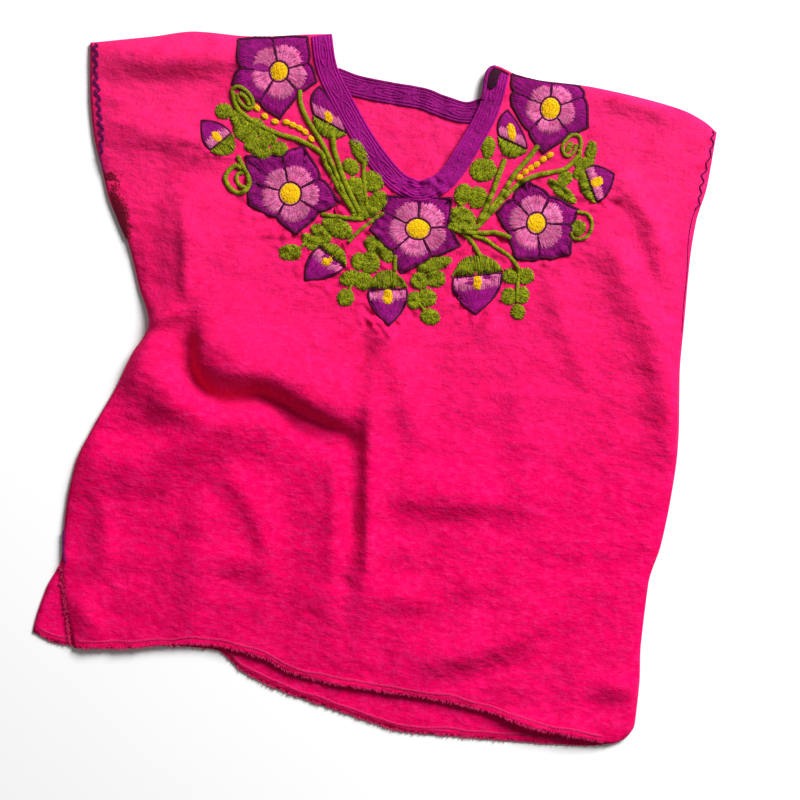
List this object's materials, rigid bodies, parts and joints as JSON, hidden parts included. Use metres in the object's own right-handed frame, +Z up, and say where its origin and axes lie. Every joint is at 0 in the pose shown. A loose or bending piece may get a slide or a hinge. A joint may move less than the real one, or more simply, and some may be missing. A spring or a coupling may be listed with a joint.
{
  "type": "embroidered top",
  "caption": "Pull-on cotton top with a V neck, cut-in cap sleeves and thick satin-stitch flowers round the neck, laid flat with soft folds.",
  "frame": {"origin": "middle of the bounding box, on the surface that the top lies on", "axes": "+Y from the hem to the neck, +X across to the image's right, +Z up from the surface"},
  "size_m": [0.6388, 0.6799, 0.0265],
  "materials": {
    "pink_cotton": "brushed plain-weave cotton",
    "purple_thread": "satin stitch in soft thread",
    "yellow_thread": "satin stitch in soft thread",
    "green_thread": "wound stitch in soft thread"
  },
  "bodies": {
    "root": {"back_panel": "pink_cotton", "front_panel": "pink_cotton", "neck_band_front": "purple_thread", "neck_band_back": "purple_thread", "flower_left_shoulder": "purple_thread", "flower_left": "purple_thread", "flower_middle": "purple_thread", "flower_right": "purple_thread", "flower_right_shoulder": "purple_thread", "bud_left_outer": "purple_thread", "bud_left_inner": "purple_thread", "bud_left_lower": "purple_thread", "bud_middle_lower": "purple_thread", "bud_right_lower": "purple_thread", "bud_right_inner": "purple_thread", "bud_right_outer": "purple_thread", "flower_middle_left_shoulder": "yellow_thread", "flower_middle_left": "yellow_thread", "flower_middle_middle": "yellow_thread", "flower_middle_right": "yellow_thread", "flower_middle_right_shoulder": "yellow_thread", "leaves_left_top": "green_thread", "leaves_left_low": "green_thread", "leaves_middle_left": "green_thread", "leaves_middle_low": "green_thread", "leaves_right_low": "green_thread", "leaves_left_neck": "green_thread", "leaves_right_neck": "green_thread", "leaves_right_top": "green_thread", "stem_left_long": "green_thread", "stem_right_mid": "green_thread"}
  },
  "joints": []
}
